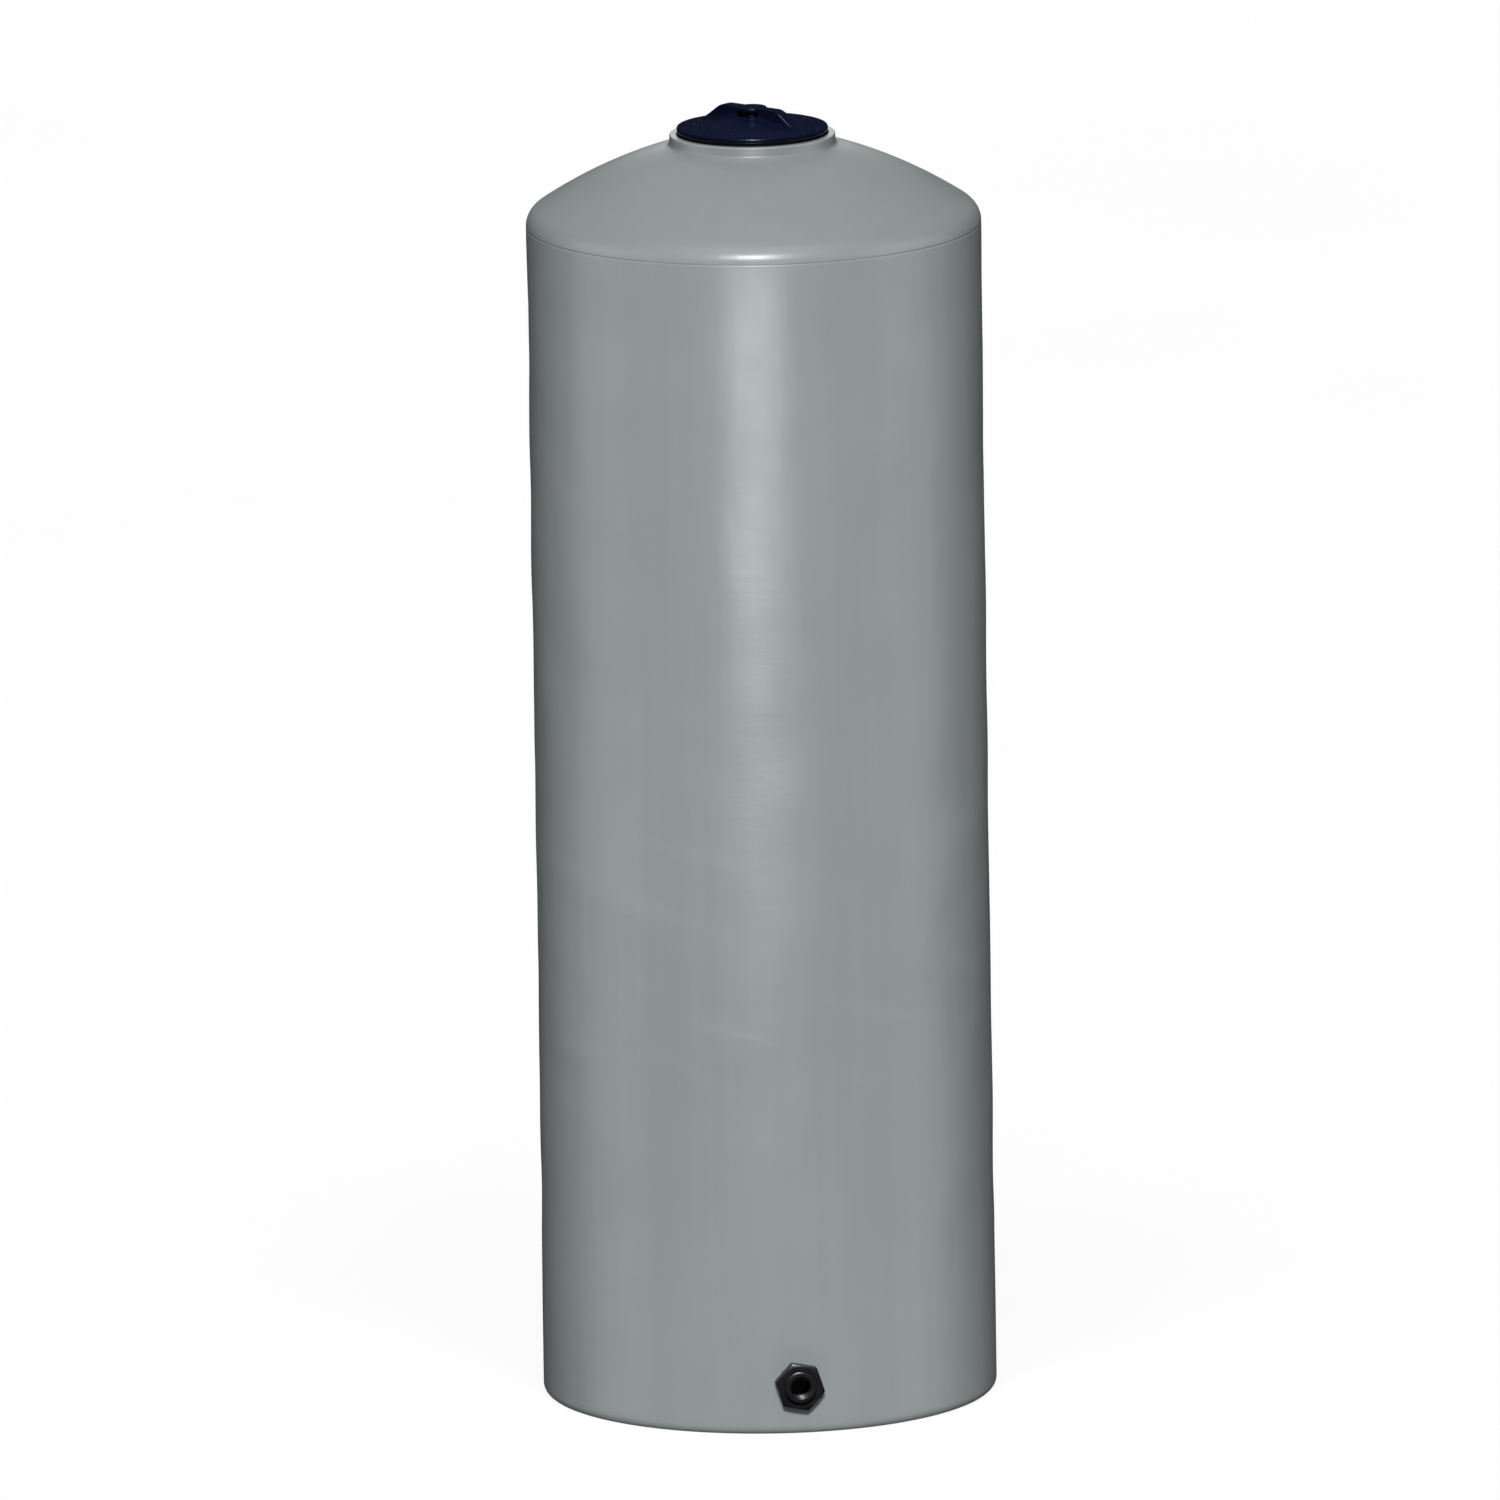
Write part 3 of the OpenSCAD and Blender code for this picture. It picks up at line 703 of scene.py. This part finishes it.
def strip_light(name, at, aim, size, power, lit, diffuse=True):
    data = bpy.data.lights.new(name, "AREA")
    data.shape, data.size, data.size_y = "RECTANGLE", *size
    data.energy = power
    lamp(data, at, Vector(at) - Vector(aim), lit, diffuse=diffuse)


def camera():
    azimuth, elevation = math.radians(FRONT), math.radians(CAMERA_ELEVATION)
    roll = math.radians(CAMERA_ROLL)
    back = Vector((math.sin(azimuth) * math.cos(elevation), -math.cos(azimuth) * math.cos(elevation),
                   math.sin(elevation)))
    right = Vector((0, 0, 1)).cross(back).normalized()
    up = back.cross(right)
    side = right * math.cos(roll) + up * math.sin(roll)
    head = up * math.cos(roll) - right * math.sin(roll)
    data = bpy.data.cameras.new("camera")
    data.sensor_width = SENSOR
    data.lens = SENSOR * CAMERA_DISTANCE / VIEW_WIDTH
    data.clip_start, data.clip_end = 0.1, 400.0
    obj = bpy.data.objects.new("camera", data)
    scene.collection.objects.link(obj)
    at = VIEW_SIDE * side + VIEW_HEAD * head + back * CAMERA_DISTANCE
    turn = Matrix((side, head, back)).transposed().to_4x4()
    obj.matrix_world = Matrix.Translation(at) @ turn
    scene.camera = obj


def group(name, objects):
    """The objects that a light falls on."""
    made = bpy.data.collections.new(name)
    for obj in objects:
        made.objects.link(obj)
    return made


pieces = [o for o in scene.objects if o.type == "MESH"]
shell_only = group("lit_shell", [o for o in pieces if o.name.startswith("tank_shell")])
on_outlet = group("lit_outlet", [o for o in pieces if o.name.startswith("outlet")])
on_lid = group("lit_lid", [o for o in pieces if not o.name.startswith(("tank_shell", "outlet"))])
everything = group("lit_object", pieces)
on_floor = group("lit_floor", [floor()])

# name, azimuth from the camera's, elevation, spread, power, what it lights, and its other settings
SOFTBOXES = [
    ("key_softbox", 0, 32, 10, 3.42, shell_only, {}),
    ("key_softbox_outlet", 0, 54, 10, 3.5, on_outlet, {}),
    ("key_softbox_lid", 0, 68, 10, 3.1, on_lid, {"glossy": False}),
    ("lid_back", 140.2, 35, 30, 0.9, on_lid, {"glossy": False}),
    ("lid_low", 0, -34, 16, 2.0, on_lid, {"blockers": everything}),
    ("lid_sheen", 0, 68, 10, 1.1, on_lid, {"diffuse": False}),
    ("lid_glint", 0, 32, 8, 1.0, on_lid, {"diffuse": False}),
    ("top_softbox", 0, 75, 40, 0.55, shell_only, {}),
    ("floor_bounce", 0, -62, 60, 0.8, shell_only, {"shadow": False, "glossy": False}),
    ("floor_bounce_outlet", 0, -62, 60, 0.25, on_outlet, {"shadow": False, "glossy": False}),
    ("side_fill_left", -84, 8, 50, 0.75, shell_only, {}),
    ("side_fill_outlet_left", -70, 8, 50, 0.28, on_outlet, {"glossy": False}),
    ("side_fill_lid_left", -70, 8, 50, 0.12, on_lid, {"glossy": False}),
    ("side_fill_right", 84, 8, 50, 0.75, shell_only, {}),
    ("side_fill_outlet_right", 70, 8, 50, 0.28, on_outlet, {"glossy": False}),
    ("side_fill_lid_right", 70, 8, 50, 0.12, on_lid, {"glossy": False}),
    ("back_fill", 180, 25, 40, 2.1, everything, {"glossy": False}),
    ("back_sheen", 180, 12, 16, 0.10, shell_only, {"diffuse": False}),
    ("floor_light", 7.2, 90, 10, 3.40, on_floor, {"shadow": False}),
    ("floor_shade", 0, 60, 50, 0.55, on_floor, {}),
]
for label, turn, elevation, spread, power, lit, others in SOFTBOXES:
    far_softbox(label, FRONT + turn, elevation, spread, power, lit, **others)
STRIP_AIM, STRIP_SIZE, STRIP_AWAY, STRIP_POWER = Vector((0, 0, 1.0)), (1.20, 0.62), 3.0, 27
strip_light("wall_strip", towards(FRONT, 0) * STRIP_AWAY + STRIP_AIM, STRIP_AIM, STRIP_SIZE,
            STRIP_POWER, shell_only, diffuse=False)
world = bpy.data.worlds.new("studio_air")
world.use_nodes = True
world.node_tree.nodes["Background"].inputs[0].default_value = (0.95, 0.97, 1.0, 1)
world.node_tree.nodes["Background"].inputs[1].default_value = 0.012
scene.world = world
scene.view_settings.view_transform = "Standard"
camera()
